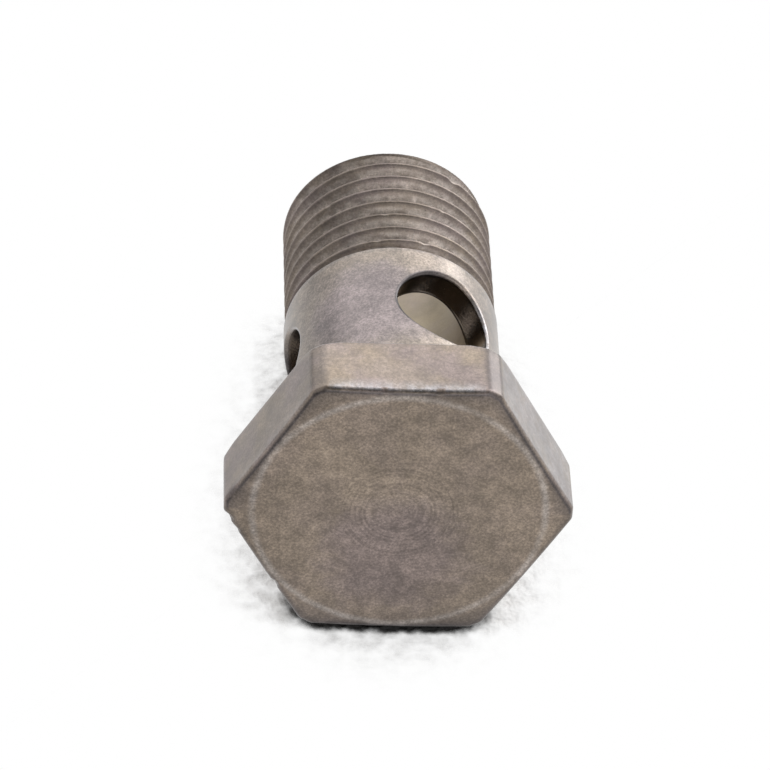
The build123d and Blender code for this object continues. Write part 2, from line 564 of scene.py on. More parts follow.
@dataclass
class DrilledShank:
    """Plain shank and the bore under it, joined by the cross holes."""

    radius: float
    bore_radius: float
    port_radius: float
    first_port: float  # clock angle
    length: float = 9.7
    root: float = 0.25  # fillet under the head
    edge: float = 0.12  # rounding at the thread's side
    port_along: float = 5.9
    lip_width: float = 0.19
    lip_depth: float = 0.2
    bore_end: float = 3.0
    side_rows: int = 60
    rings: int = 10
    ring_crowding: float = 1.5  # how the rings crowd towards a port's edge, where 1 is evenly spaced
    wall_rows: int = 8

    end_wear: float = 0.15  # where the rounding at the thread's side begins
    rim_shade: float = 0.3  # painted shade just outside the lip, on the thread's side
    rim_shade_share: float = 0.3  # share of the way from the border to the lip over which that painted shade comes in
    lip_highlight: float = 1.4  # painted highlight of the lip on its clockwise side
    lip_shade: Pair = (0.4, 0.25)  # painted shade of the whole lip, and more of it on the thread's side

    @property
    def clocks(self) -> Array:
        """Clock angle of each column, from the middle between two ports."""
        return self.first_port - PORT_STEP / 2 + STEP * np.arange(COLUMNS)

    def sheet(self, radius: float, low: Array, high: Array, start: float, end: float,
              skin: Skin) -> list[tuple[Array, Array]]:
        """Borders round the three ports, on one cylinder.

        Args:
            radius: The cylinder's radius.
            low: Ring at the start.
            high: Ring at the end.
            start: Place of the first ring along the bolt.
            end: Place of the other ring along the bolt.
            skin: The bolt's skin.

        Returns:
            For each port, the border's indices and its points unrolled: across and along.
        """
        wide = COLUMNS // PORTS
        alongs = np.linspace(start, end, self.side_rows + 1)[1:-1]
        sides = []
        for port in range(PORTS):
            clocks = np.full(len(alongs), self.clocks[port * wide])
            sides.append(skin.row(circle(radius, clocks, alongs)))
        half = math.radians(PORT_STEP / 2) * radius
        across = np.linspace(-half, half, wide + 1)
        unrolled = np.concatenate([
            np.column_stack([across, np.full(wide + 1, start)]),
            np.column_stack([np.full(len(alongs), half), alongs]),
            np.column_stack([across[::-1], np.full(wide + 1, end)]),
            np.column_stack([np.full(len(alongs), -half), alongs[::-1]]),
        ])
        borders = []
        for port in range(PORTS):
            span = (port * wide + np.arange(wide + 1)) % COLUMNS
            left, right = sides[port], sides[(port + 1) % PORTS]
            border = np.concatenate([low[span], right, high[span][::-1], left[::-1]])
            borders.append((border, unrolled))
        return borders

    def rim(self, radius: float, port_radius: float, turns: Array) -> Array:
        """The port's edge on a cylinder, unrolled.

        Args:
            radius: The cylinder's radius.
            port_radius: Radius of the port there.
            turns: Angles round the port, in radians.

        Returns:
            Across and along for each angle.
        """
        across = radius * np.arcsin(port_radius * np.cos(turns) / radius)
        return np.column_stack([across, self.port_along + port_radius * np.sin(turns)])

    def surround(self, skin: Skin, radius: float, port: int, border: tuple[Array, Array],
                 port_radius: float, zone: Zone) -> tuple[Array, Array]:
        """Fills a cylinder's sheet from its border to a port.

        Args:
            skin: The bolt's skin.
            radius: The cylinder's radius.
            port: Number of the port.
            border: Indices of the border, and the border unrolled.
            port_radius: Radius of the port on this cylinder.
            zone: Finish of the faces.

        Returns:
            Indices of the port's edge, and its angles round the port.
        """
        ring, place = border
        turns = np.arctan2(place[:, 1] - self.port_along, place[:, 0])
        rim = self.rim(radius, port_radius, turns)
        middle = self.first_port + port * PORT_STEP
        # painted shade round the port's edge, on the thread's side
        painted_rim_shade = -self.rim_shade * between(np.sin(turns), 0, 1) if zone is Zone.SHANK else 0.0
        for share in 1 - np.linspace(1, 0, self.rings + 1)[1:] ** self.ring_crowding:
            at = place + (rim - place) * share
            points = circle(radius, middle + np.degrees(at[:, 0] / radius), at[:, 1])
            ring = skin.grow(ring, points, zone, painted_rim_shade * between(share, 1 - self.rim_shade_share, 1))
        return ring, turns

    def lip_highlight_and_shade(self, turns: Array) -> Array:
        """Painted highlight and painted shade round a port's lip: bright on the clockwise side, dark on the
        thread's side.
        """
        corner_grime_and_shade, more = self.lip_shade
        return self.lip_highlight * np.cos(turns) - more * between(np.sin(turns), 0, 1) - corner_grime_and_shade

    def through_wall(self, port: int, port_radius: float, turns: Array, depth: Array) -> Array:
        """Points on a port's wall.

        Args:
            port: Number of the port.
            port_radius: Radius of the wall there.
            turns: Angles round the port, in radians.
            depth: Distance from the bolt's axis, measured along the port.

        Returns:
            Rows of right, up and along.
        """
        middle = math.radians(self.first_port + port * PORT_STEP)
        across = port_radius * np.cos(turns)
        right = depth * math.sin(middle) + across * math.cos(middle)
        up = depth * math.cos(middle) - across * math.sin(middle)
        return np.column_stack([right, up, self.port_along + port_radius * np.sin(turns)])

    def port(self, skin: Skin, port: int, outer: tuple[Array, Array], inner: tuple[Array, Array]) -> None:
        """Sews one port, from the shank round its lip and down its wall to the bore.

        Args:
            skin: The bolt's skin.
            port: Number of the port.
            outer: Indices of its border on the shank, and the border unrolled.
            inner: The same on the bore.
        """
        wide = self.port_radius + self.lip_width
        ring, turns = self.surround(skin, self.radius, port, outer, wide, Zone.SHANK)
        for turn in QUARTER:
            radius = self.port_radius + self.lip_width * (1 - math.sin(turn))
            surface = np.sqrt(self.radius**2 - (radius * np.cos(turns)) ** 2)
            depth = surface - self.lip_depth * (1 - math.cos(turn))
            points = self.through_wall(port, radius, turns, depth)
            ring = skin.grow(ring, points, Zone.SHANK, self.lip_highlight_and_shade(turns))
        inside, ends = self.surround(skin, self.bore_radius, port, inner, self.port_radius, Zone.BORE)
        saddle = np.sqrt(self.bore_radius**2 - (self.port_radius * np.cos(ends)) ** 2)
        drift = (ends - turns + math.pi) % (2 * math.pi) - math.pi
        for share in np.linspace(0, 1, self.wall_rows + 1)[1:-1]:
            reach = depth + (saddle - depth) * share
            points = self.through_wall(port, self.port_radius, turns + drift * share, reach)
            ring = skin.grow(ring, points, Zone.PORT)
        skin.sew(ring, inside, Zone.PORT)

    def build(self, skin: Skin, root: Array, bore_high: Array, bore_start: float) -> tuple[Array, Array]:
        """Sews the shank, the ports and the bore between them.

        Args:
            skin: The bolt's skin.
            root: Ring at the seat's inner edge.
            bore_high: Ring of the bore on the open end's side.
            bore_start: Where that ring lies along the bolt.

        Returns:
            The shank's ring on the thread's side and the bore's ring at its drill point.
        """
        ring, plain_end = root, self.length - self.edge
        for turn in QUARTER:
            radius = self.radius + self.root * (1 - math.sin(turn))
            ring = skin.grow(ring, circle(radius, self.clocks, self.root * (1 - math.cos(turn))), Zone.SHANK)
        far = skin.row(circle(self.radius, self.clocks, plain_end), self.end_wear)
        near = skin.row(circle(self.bore_radius, self.clocks, self.bore_end))
        shell = self.sheet(self.radius, ring, far, self.root, plain_end, skin)
        lining = self.sheet(self.bore_radius, near, bore_high, self.bore_end, bore_start, skin)
        for port, (outer, inner) in enumerate(zip(shell, lining)):
            self.port(skin, port, outer, inner)
        return far, near


@dataclass
class CutThread:
    """Relief, helical thread and chamfered tip."""

    crest_radius: float
    shank: DrilledShank  # that it follows
    pitch: float = 1.0
    flank_slope: float = 60.0  # from the bolt's axis
    crest_flat: float = 0.125  # between the flanks, before the crest is rounded
    root_rounding: float = 0.2165
    crest_rounding: float = 0.1
    groove_along: float = 9.83  # centre of the groove at clock angle 0, a turn before the first full one
    groove_start: float = -100.0  # clock angle where the groove leaves the relief
    run_in: float = 25.0  # degrees over which it comes to its full depth
    relief_radius: float = 4.65
    relief_width: float = 0.25
    relief_angle: float = 30.0
    relief_corner: float = 0.05  # size of the edge round the relief's floor
    shank_step: float = 0.1  # down from the shank's rounding to the first row of the relief
    end: float = 18.0
    tip_chamfer: float = 0.85
    dents: tuple[Dent, ...] = (
        Dent(16.0, 0.34, 0.07), Dent(-10.0, 0.2, 0.04), Dent(-5.0, 0.22, 0.05, 2),
        Dent(37.0, 0.4, 0.1, 6), Dent(28.0, 0.16, 0.03, 3), Dent(-38.0, 0.2, 0.03, 4),
    )
    dent_reach: float = 0.3  # along the bolt
    nearest: float = 0.012  # between the last row and the end of a column
    samples: int = 1600  # places where a column is searched for the groove's edges

    shading_depths: tuple[float, ...] = (0.0, 0.03, 0.07, 0.14, 0.21, 0.28, 0.36)  # depths under the crests
    wear_and_shading: tuple[float, ...] = (0.15, -0.2, -0.5, -0.25, 0.2, 0.65, 1.0)  # at these depths: painted shade just under the crests, painted light towards the roots
    dent_wear: float = 0.4
    shank_edge_wear: float = 0.3  # of the rounding at the end of the shank
    tip_wear: float = 0.5  # of the end face's outer edge

    @property
    def tip_radius(self) -> float:
        """Outer radius of the end face."""
        return self.crest_radius - self.tip_chamfer

    @cached_property
    def profile(self) -> Array:
        """One pitch of the thread, from the middle of the groove.

        Returns:
            Rows of place along the bolt, from 0 to the pitch, and depth under the crest.
        """
        half = (self.pitch - self.crest_flat) / 2
        slope = math.radians(self.flank_slope)
        root, crest = self.root_rounding, self.crest_rounding
        centre = (half * math.sin(slope) - root) / math.cos(slope)
        low = [(root * math.sin(t), centre + root * math.cos(t)) for t in np.linspace(0, slope, 4)]
        over = half + crest * math.tan(slope / 2)
        high = [(over - crest * math.sin(t), crest * (1 - math.cos(t))) for t in np.linspace(slope, 0, 3)]
        flank = [((low[-1][0] + high[0][0]) / 2, (low[-1][1] + high[0][1]) / 2)]
        rising = low + flank + high + [(self.pitch / 2, 0.0)]
        falling = [(self.pitch - place, depth) for place, depth in rising[-2:0:-1]]
        return np.array(rising + falling)

    @cached_property
    def envelope(self) -> Array:
        """Outline of the threaded end without its groove.

        Returns:
            Rows of place along the bolt and radius.
        """
        bottom = self.shank.length + self.relief_width
        rise = (self.crest_radius - self.relief_radius) * math.tan(math.radians(self.relief_angle))
        return np.array([
            (bottom, self.relief_radius),
            (bottom + rise, self.crest_radius),
            (self.end - self.tip_chamfer, self.crest_radius),
            (self.end, self.tip_radius),
        ])

    def outer(self, along: Array) -> Array:
        """Radius of the outline without the groove, at places along the bolt."""
        return np.interp(along, self.envelope[:, 0], self.envelope[:, 1])

    def groove(self, along: Array, clock: float) -> Array:
        """Radius of the thread's surface, without relief and chamfer.

        Args:
            along: Places along the bolt.
            clock: Clock angle.

        Returns:
            A radius for each place.
        """
        turns = (along - self.groove_along) / self.pitch - clock / 360
        closed = np.vstack([self.profile, [self.pitch, self.profile[0, 1]]])
        depth = np.interp(np.mod(turns, 1.0) * self.pitch, closed[:, 0], closed[:, 1])
        cut = between(np.round(turns) * 360 + clock - self.groove_start, 0, self.run_in)
        return self.crest_radius - depth * cut**2 * (3 - 2 * cut)

    def dented(self, along: Array, clock: float) -> tuple[Array, Array]:
        """Knocks the dents into one column of the thread.

        Args:
            along: Places along the bolt.
            clock: Clock angle, between -180 and 180.

        Returns:
            How deep the dents are at each place, and how far it lies in one, from 0 to 1.
        """
        depth, mark = np.zeros(len(along)), np.zeros(len(along))
        for dent in self.dents:
            crest = self.groove_along + (dent.turn + 0.5 + clock / 360) * self.pitch
            near = 1 - between(np.abs(along - crest), 0, self.dent_reach)
            hollow = dent.hollow(np.array([clock]), self.crest_radius) * near
            depth += dent.depth * hollow
            mark = np.maximum(mark, hollow)
        return depth, mark

    def snapped(self, along: Array, clock: float) -> Array:
        """Moves the nearest places of a column onto the edges that relief and chamfer cut in the thread.

        Args:
            along: The column's places, in order.
            clock: Its clock angle.

        Returns:
            The places, with some moved and those near the ends put on them.
        """
        low, high = self.envelope[[0, -1], 0]
        fine = np.linspace(low, high, self.samples)
        over = self.groove(fine, clock) - self.outer(fine)
        crossing = np.nonzero((over[:-1] > 0) != (over[1:] > 0))[0]
        moved = along.copy()
        for edge in np.concatenate([self.envelope[1:-1, 0], fine[crossing]]):
            if low + self.nearest < edge < high - self.nearest:
                moved[np.argmin(np.abs(along - edge))] = edge
        moved[moved < low + self.nearest] = low
        moved[moved > high - self.nearest] = high
        return moved

    def relief(self, skin: Skin, ring: Array) -> Array:
        """Sews the rounding at the end of the shank and the relief.

        Args:
            skin: The bolt's skin.
            ring: The shank's last ring.

        Returns:
            The ring where the thread begins.
        """
        length, radius, edge = self.shank.length, self.shank.radius, self.shank.edge
        for turn in QUARTER:
            inset, along = edge * (1 - math.cos(turn)), length - edge * (1 - math.sin(turn))
            points = circle(radius - inset, self.shank.clocks, along)
            ring = skin.grow(ring, points, Zone.SHANK, self.shank_edge_wear * math.sin(2 * turn))
        floor, corner = self.relief_radius, self.relief_corner
        for radius, along in (
            (radius - edge - self.shank_step, 0.0), (floor + corner, 0.0), (floor, corner),
            (floor, self.relief_width / 2), (floor, self.relief_width),
        ):
            ring = skin.grow(ring, circle(radius, self.shank.clocks, length + along), Zone.THREAD)
        return ring

    def build(self, skin: Skin, ring: Array) -> Array:
        """Sews the relief and the thread onto the shank.

        Args:
            skin: The bolt's skin.
            ring: The shank's last ring.

        Returns:
            The ring at the end face.
        """
        first = self.relief(skin, ring)
        last = skin.row(circle(self.tip_radius, self.shank.clocks, self.end), self.tip_wear)
        low, high = self.envelope[[0, -1], 0]
        turns = range(-2, int((high - low) / self.pitch) + 3)
        places = np.concatenate([self.profile[:, 0] + turn * self.pitch for turn in turns])
        table = np.zeros((COLUMNS + 1, len(places)), int)
        for column, clock in enumerate(self.shank.clocks):
            along = self.snapped(self.groove_along + clock / 360 * self.pitch + places, clock)
            radius = np.minimum(self.outer(along), self.groove(along, clock))
            inside = (along > low) & (along < high)
            depth, mark = self.dented(along, wrapped(clock))
            points = circle((radius - depth)[inside], np.full(inside.sum(), clock), along[inside])
            # painted shade just under the crests and painted light towards the roots, by depth
            depth_shading = np.interp(self.crest_radius - radius, self.shading_depths, self.wear_and_shading)
            wear_and_shading = self.dent_wear * mark + depth_shading * (1 - mark)
            table[column, inside] = skin.row(points, wear_and_shading[inside])
            table[column, along <= low] = first[column]
            table[column, along >= high] = last[column]
        per_turn = len(self.profile)
        table[COLUMNS, :-per_turn] = table[0, per_turn:]
        table[COLUMNS, -per_turn:] = last[0]
        for left, right in zip(table, table[1:]):
            skin.sew(left, right, Zone.THREAD, closed=False)
        return last


@dataclass
class HollowEnd:
    """End face, bore mouth, bore and drill point."""

    shank: DrilledShank
    end: float  # of the bolt
    mouth: float = 0.2  # chamfer
    mouth_wear: float = 0.4
    drill_angle: float = 118.0
    point_rows: tuple[float, ...] = (0.15, 0.4, 0.7, 0.92)  # shares of the way to its tip
    meets_ports: float = 9.5  # where the bore's plain rows end
    bore_rows: int = 14

    def lining(self, skin: Skin, ring: Array) -> Array:
        """Sews the end face and the bore as far as the ports.

        Args:
            skin: The bolt's skin.
            ring: The ring round the end face.

        Returns:
            The bore's ring where the ports' part begins.
        """
        bore, start = self.shank.bore_radius, self.end - self.mouth
        for radius, along in ((bore + self.mouth, self.end), (bore, start)):
            ring = skin.grow(ring, circle(radius, self.shank.clocks, along), Zone.THREAD, self.mouth_wear)
        for along in np.linspace(start, self.meets_ports, self.bore_rows)[1:]:
            ring = skin.grow(ring, circle(bore, self.shank.clocks, along), Zone.BORE)
        return ring

    def point(self, skin: Skin, ring: Array) -> None:
        """Sews the drill point onto the bore's last ring.

        Args:
            skin: The bolt's skin.
            ring: That ring.
        """
        bore, start = self.shank.bore_radius, self.shank.bore_end
        drop = bore / math.tan(math.radians(self.drill_angle / 2))
        for share in self.point_rows:
            points = circle(bore * (1 - share), self.shank.clocks, start - drop * share)
            ring = skin.grow(ring, points, Zone.BORE)
        skin.cap(ring, skin.row(np.array([[0.0, 0.0, start - drop]])), Zone.BORE)


class Nodes:
    """Short ways to add and join nodes in one tree."""

    def __init__(self, tree: bpy.types.NodeTree) -> None:
        """Works on a tree.

        Args:
            tree: The node tree of a material, a world or a group.
        """
        self.tree = tree

    def feed(self, socket: Socket, value: object) -> None:
        """Joins a socket to another, or sets it.

        Args:
            socket: The input.
            value: An output, a number, a row of numbers, or nothing.
        """
        if isinstance(value, Socket):
            self.tree.links.new(value, socket)
        elif value is not None:
            socket.default_value = value

    def add(self, kind: str, values: dict[str | int, object], out: str | int = 0,
            **settings: object) -> Socket:
        """Adds a node.

        Args:
            kind: The node's type, without its prefix.
            values: A socket or a value for each input, by its name or its number.
            out: The output to return.
            settings: The node's own settings.

        Returns:
            One of the node's outputs.
        """
        node = self.tree.nodes.new("ShaderNode" + kind)
        for name, setting in settings.items():
            setattr(node, name, setting)
        for name, value in values.items():
            self.feed(node.inputs[name], value)
        return node.outputs[out]

    def math(self, operation: str, first: object, second: object = None, third: object = None,
             clamp: bool = False) -> Socket:
        """Adds arithmetic on values."""
        return self.add("Math", {0: first, 1: second, 2: third}, operation=operation, use_clamp=clamp)

    def product(self, first: object, *others: object) -> Socket:
        """Multiplies values.

        Args:
            first: A socket or a number.
            others: The others, one or more.

        Returns:
            The product.
        """
        for other in others:
            first = self.math("MULTIPLY", first, other)
        return first

    def vector(self, operation: str, first: object, second: object) -> Socket:
        """Adds arithmetic on vectors."""
        out = "Value" if operation == "DOT_PRODUCT" else "Vector"
        return self.add("VectorMath", {0: first, 1: second}, out, operation=operation)

    def length(self, vector: Socket) -> Socket:
        """Length of a vector."""
        return self.add("VectorMath", {0: vector}, "Value", operation="LENGTH")

    def scaled(self, vector: Socket, scale: object) -> Socket:
        """Scales a vector or a colour."""
        return self.add("VectorMath", {0: vector, "Scale": scale}, "Vector", operation="SCALE")

    def ramp(self, value: object, low: object, high: object, start: object = 0.0, end: object = 1.0,
             smooth: bool = True) -> Socket:
        """Maps a range of values onto another.

        Args:
            value: The value to map.
            low: Start of its range.
            high: End of its range.
            start: What the start becomes.
            end: What the end becomes.
            smooth: Whether it eases in and out.

        Returns:
            The mapped value, kept between start and end.
        """
        sockets = {"Value": value, "From Min": low, "From Max": high, "To Min": start, "To Max": end}
        kind = "SMOOTHSTEP" if smooth else "LINEAR"
        return self.add("MapRange", sockets, "Result", interpolation_type=kind)

    def noise(self, place: object, scale: object, detail: float = 3.0, rough: float = 0.55,
              shift: Triple | None = None) -> Socket:
        """Adds noise.

        Args:
            place: Where the noise is read.
            scale: How fine it is, in waves for each unit of the place.
            detail: How many finer layers it has.
            rough: How strong they are, from 0 to 1.
            shift: Added to the place, which gives another noise.

        Returns:
            A value about 0.5.
        """
        if shift:
            place = self.vector("ADD", place, shift)
        sockets = {"Vector": place, "Scale": scale, "Detail": detail, "Roughness": rough}
        return self.add("TexNoise", sockets, "Fac")

    def blend(self, share: object, first: object, second: object) -> Socket:
        """Mixes two colours, each of them a socket or its red, green and blue."""
        first, second = ((*color, 1.0) if isinstance(color, tuple) else color for color in (first, second))
        return self.add("Mix", {0: share, 6: first, 7: second}, 2, data_type="RGBA")

    def group(self, tree: bpy.types.NodeTree, **values: object) -> bpy.types.NodeOutputs:
        """Places a group.

        Args:
            tree: The group.
            values: A socket or a value for each input, by its name.

        Returns:
            The group's outputs.
        """
        node = self.tree.nodes.new("ShaderNodeGroup")
        node.node_tree = tree
        for name, value in values.items():
            self.feed(node.inputs[name], value)
        return node.outputs


class Effect:
    """One shader node group."""

    kinds = {"V": "NodeSocketVector", "F": "NodeSocketFloat"}

    def __init__(self, name: str, inputs: dict[str, str], outputs: dict[str, str]) -> None:
        """Starts an empty group.

        Args:
            name: The group's name.
            inputs: Kind of each input by its name: V for a vector, F for a value.
            outputs: The same for the outputs.
        """
        self.tree = bpy.data.node_groups.new(name, "ShaderNodeTree")
        for side, sockets in (("INPUT", inputs), ("OUTPUT", outputs)):
            for socket, kind in sockets.items():
                self.tree.interface.new_socket(socket, in_out=side, socket_type=self.kinds[kind])
        self.nodes = Nodes(self.tree)
        self.given = self.tree.nodes.new("NodeGroupInput").outputs
        self.result = self.tree.nodes.new("NodeGroupOutput").inputs

    def give(self, **values: Socket) -> bpy.types.NodeTree:
        """Feeds the group's outputs.

        Args:
            values: A socket for each output, by its name.

        Returns:
            The finished group.
        """
        for name, value in values.items():
            self.nodes.feed(self.result[name], value)
        return self.tree


class Effects:
    """The effects that the steel finishes share."""

    coarse_scale = 0.2  # of the grain's coarse part, where the fine part has 1
    coarse_share = 0.34  # of that part in the grain
    grain_range = (0.36, 0.68)  # of the noise that the grain is spread from
    grain_power = 1.4  # above 1, bright grains are fewer than dark ones
    stains = {  # shift of each stain's noise, and where in the noise it begins and is full
        "Olive": ((11.3, 4.1, 2.7), 0.42, 0.66),
        "Violet": ((2.9, 17.3, 8.1), 0.42, 0.66),
        "Depth": ((7.7, 1.3, 19.1), 0.35, 0.65),
    }
    lines_drift = 0.22  # how fast the turning marks change along their own length
    breakup_range = (0.36, 0.62)  # of the noise that breaks up the wear and the painted light
    unbroken_share = 0.35  # share of the wear and painted light that isn't broken up
    pit_areas = 0.9  # scale of the noise that says where the pits are
    pit_range = (0.5, 0.62)  # where in that noise they begin and are all there

    def __init__(self, place: Place) -> None:
        """Builds every group.

        Args:
            place: Where the bolt lies.
        """
        self.axes = self._axes(place)
        self.grain = self._grain()
        self.mottle = self._mottle()
        self.turning = self._turning()
        self.wear_and_shading = self._wear_and_shading()
        self.pits = self._pits()

    @staticmethod
    def _axes(place: Place) -> bpy.types.NodeTree:
        """The bolt's own coordinates, in millimetres.

        Args:
            place: Where the bolt lies.

        Returns:
            A group that gives the place, its radius and its distance along the bolt.
        """
        effect = Effect("bolt_axes", {}, {"Place": "V", "Radius": "F", "Along": "F"})
        nodes = effect.nodes
        world = nodes.add("TexCoord", {}, "Object")
        offset = nodes.scaled(nodes.vector("SUBTRACT", world, tuple(place.seat)), 1 / MM)
        right, up, along = (
            nodes.vector("DOT_PRODUCT", offset, tuple(axis)) for axis in (place.right, place.up, place.axis))
        turned = nodes.add("CombineXYZ", {"X": right, "Y": up, "Z": along})
        across = nodes.add("CombineXYZ", {"X": right, "Y": up})
        return effect.give(Place=turned, Radius=nodes.length(across), Along=along)

    def _grain(self) -> bpy.types.NodeTree:
        """Fine speckle of bead-blasted and stained metal.

        Returns:
            A group that gives a value from 0 to 1.
        """
        effect = Effect("fine_grain", {"Place": "V", "Scale": "F"}, {"Value": "F"})
        nodes, place, scale = effect.nodes, effect.given["Place"], effect.given["Scale"]
        fine = nodes.noise(place, scale, 2.0, 0.8)
        coarse = nodes.noise(place, nodes.product(scale, self.coarse_scale), 2.0, 0.6, (3.1, 7.7, 1.9))
        fine, coarse = nodes.product(fine, 1 - self.coarse_share), nodes.product(coarse, self.coarse_share)
        level = nodes.ramp(nodes.math("ADD", fine, coarse), *self.grain_range, smooth=False)
        return effect.give(Value=nodes.math("POWER", level, self.grain_power))

    def _mottle(self) -> bpy.types.NodeTree:
        """Soft patches of stain.

        Returns:
            A group that gives how olive, how violet and how light the metal is, from 0 to 1.
        """
        effect = Effect("stain_mottle", {"Place": "V", "Size": "F"}, {name: "F" for name in self.stains})
        nodes, place = effect.nodes, effect.given["Place"]
        scale = nodes.math("DIVIDE", 1.0, effect.given["Size"])
        return effect.give(**{
            name: nodes.ramp(nodes.noise(place, scale, 4.0, 0.6, shift), low, high)
            for name, (shift, low, high) in self.stains.items()
        })

    def _turning(self) -> bpy.types.NodeTree:
        """Fine lines left by a turning tool.

        Returns:
            A group that gives a value about 0.5.
        """
        effect = Effect("turning_marks", {"Place": "V", "Across": "F", "Lines": "F"}, {"Value": "F"})
        nodes, given = effect.nodes, effect.given
        row = nodes.add("CombineXYZ", {"X": nodes.product(given["Across"], given["Lines"])})
        place = nodes.vector("ADD", row, nodes.scaled(given["Place"], self.lines_drift))
        return effect.give(Value=nodes.noise(place, 1.0, 2.0, 0.65))

    def _wear_and_shading(self) -> bpy.types.NodeTree:
        """Worn and grimy edges, with painted light and painted shade, from the skin's wear and shading.

        Returns:
            A group that gives how much wear and painted light, and how much grime and painted shade the metal
            has, from 0 to 1.
        """
        effect = Effect("edge_wear_and_shading", {"Place": "V", "Scale": "F", "Amount": "F"}, {"Worn": "F", "Grimy": "F"})
        nodes, given = effect.nodes, effect.given
        wear_and_shading = nodes.add("Attribute", {}, "Fac", attribute_name="wear_and_shading")
        broken = nodes.ramp(nodes.noise(given["Place"], given["Scale"], 4.0, 0.65), *self.breakup_range)
        share = nodes.math("ADD", self.unbroken_share, nodes.product(broken, 1 - self.unbroken_share))
        worn_and_lit = nodes.math("MULTIPLY", nodes.product(wear_and_shading, share), given["Amount"], clamp=True)
        return effect.give(Worn=worn_and_lit, Grimy=nodes.math("MULTIPLY", wear_and_shading, -1.0, clamp=True))

    def _pits(self) -> bpy.types.NodeTree:
        """A few small dark pits.

        Returns:
            A group that gives 1 in a pit and 0 outside.
        """
        effect = Effect("pits", {"Place": "V", "Scale": "F", "Width": "F", "Amount": "F"}, {"Mask": "F"})
        nodes, given = effect.nodes, effect.given
        spots = {"Vector": given["Place"], "Scale": given["Scale"], "Randomness": 1.0}
        few = nodes.ramp(nodes.noise(given["Place"], self.pit_areas, 2.0), *self.pit_range)
        near = nodes.ramp(nodes.add("TexVoronoi", spots, "Distance"), 0.0, given["Width"], 1.0, 0.0)
        return effect.give(Mask=nodes.product(near, few, given["Amount"]))


class Across(Enum):
    """What the turning marks run across."""

    RADIUS = "Radius"
    ALONG = "Along"


@dataclass(frozen=True)
class Band:
    """Burnished ring on the face."""

    radius: float  # middle of the ring
    width: float  # width of the ring
    strength: float  # how much of the worn colour shows, from 0 to 1
    waver: float = 0.12  # how far the ring strays from its radius, from side to side
    waver_scale: float = 1.3  # scale of that straying
    fade: float = 0.75  # where the ring ends, from its middle, in widths
    thin: float = 0.35  # what is left of the ring where it is thinnest, from 0 to 1
    thin_range: Pair = (0.32, 0.62)  # where in its noise the ring is thinnest and full
    thin_scale: float = 0.5  # scale of that noise

    def mask(self, nodes: Nodes, place: Socket, radius: Socket) -> Socket:
        """The ring, uneven round the face.

        Args:
            nodes: Nodes of the material.
            place: Where the point is, in millimetres.
            radius: Its radius.

        Returns:
            A value from 0 to 1.
        """
        wavering = nodes.math("ADD", radius, nodes.product(nodes.noise(place, self.waver_scale), self.waver))
        off = nodes.math("ABSOLUTE", nodes.math("SUBTRACT", wavering, self.radius + self.waver / 2))
        ring = nodes.ramp(off, 0.0, self.width * self.fade, 1.0, 0.0)
        uneven = nodes.ramp(nodes.noise(place, self.thin_scale, 5.0, 0.75), *self.thin_range, self.thin, 1.0)
        return nodes.product(ring, uneven, self.strength)


@dataclass(frozen=True)
class Patch:
    """Round violet stain, which can also darken the steel; on the face that darkening is painted shade."""

    middle: Triple  # right, up and along of its middle, in millimetres
    reach: float  # radius where it ends
    shade: float = 1.0  # how bright the steel stays in it, where 1 is as bright as outside
    core: float = 0.4  # share of the reach that has the whole stain
    ragged: float = 3.0  # how far its edge strays, from side to side
    ragged_scale: float = 0.6  # scale of that straying
    violet: float = 0.25  # share of the small violet stains that are left outside
    olive: float = 0.9  # how olive the steel is outside, from 0 to 1
    olive_fade: float = 1.5  # how fast that fades towards the stain

    def mask(self, nodes: Nodes, place: Socket) -> Socket:
        """The stain, with a ragged edge.

        Args:
            nodes: Nodes of the material.
            place: Where the point is, in millimetres.

        Returns:
            A value from 0 to 1.
        """
        off = nodes.length(nodes.vector("SUBTRACT", place, self.middle))
        noise = nodes.noise(place, self.ragged_scale, 4.0, 0.65)
        strayed = nodes.math("ADD", off, nodes.product(noise, self.ragged))
        start, end = (self.reach * share + self.ragged / 2 for share in (self.core, 1.0))
        return nodes.ramp(strayed, start, end, 1.0, 0.0)


@dataclass
class Seen:
    """What a finish has at a point, each a socket with a value from 0 to 1."""

    grain: Socket  # speckle
    marks: Socket  # turning marks
    olive: Socket  # olive stain
    violet: Socket  # violet stain
    depth: Socket  # how light the stains are
    pits: Socket  # pits
    worn_and_lit: Socket  # rubbed steel and painted light
    shaded_and_grimy: Socket  # grime and painted shade
    patch: Socket | None = None  # the large violet stain, if there is one


